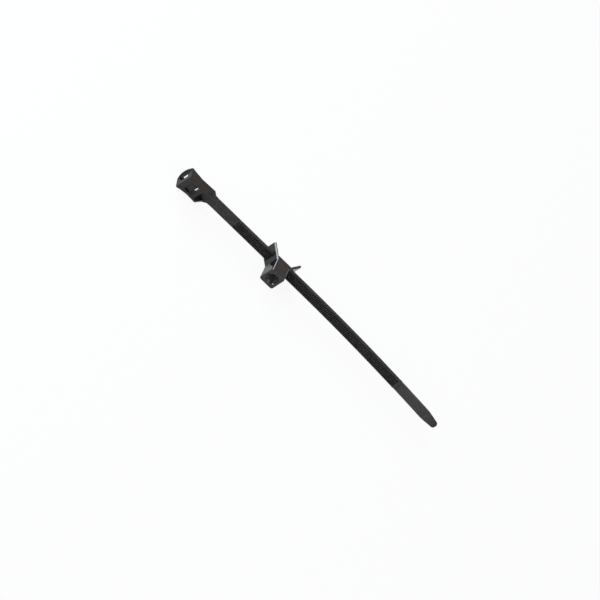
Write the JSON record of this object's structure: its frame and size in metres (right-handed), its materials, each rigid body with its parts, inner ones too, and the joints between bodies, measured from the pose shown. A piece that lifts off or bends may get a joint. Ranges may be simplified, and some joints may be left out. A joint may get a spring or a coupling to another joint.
{
  "type": "screw mount cable tie",
  "caption": "Black nylon cable tie with outside teeth, an in-line locking head and a tapered tail grip, threaded through a sliding saddle with a screw hole and a V-shaped cable cradle.",
  "frame": {"origin": "centre of the screw hole's mouth, on the saddle's screw face", "axes": "+X along the strap from the head to the tail, +Y from the screw face to the cable cradle, +Z across the strap; the tie lies on its edge"},
  "size_m": [0.2436, 0.0227, 0.0156],
  "materials": {
    "saddle_nylon": "moulded black nylon with a satin sheen",
    "tie_nylon": "moulded black nylon, fine matt texture"
  },
  "bodies": {
    "saddle": {"saddle_mount": "saddle_nylon"},
    "tie": {"cable_tie": "tie_nylon"}
  },
  "joints": [
    {"name": "tie_slide", "type": "slide", "parent": "saddle", "child": "tie", "axis": [1, 0, 0], "range_m": [-0.03, 0.053]}
  ]
}
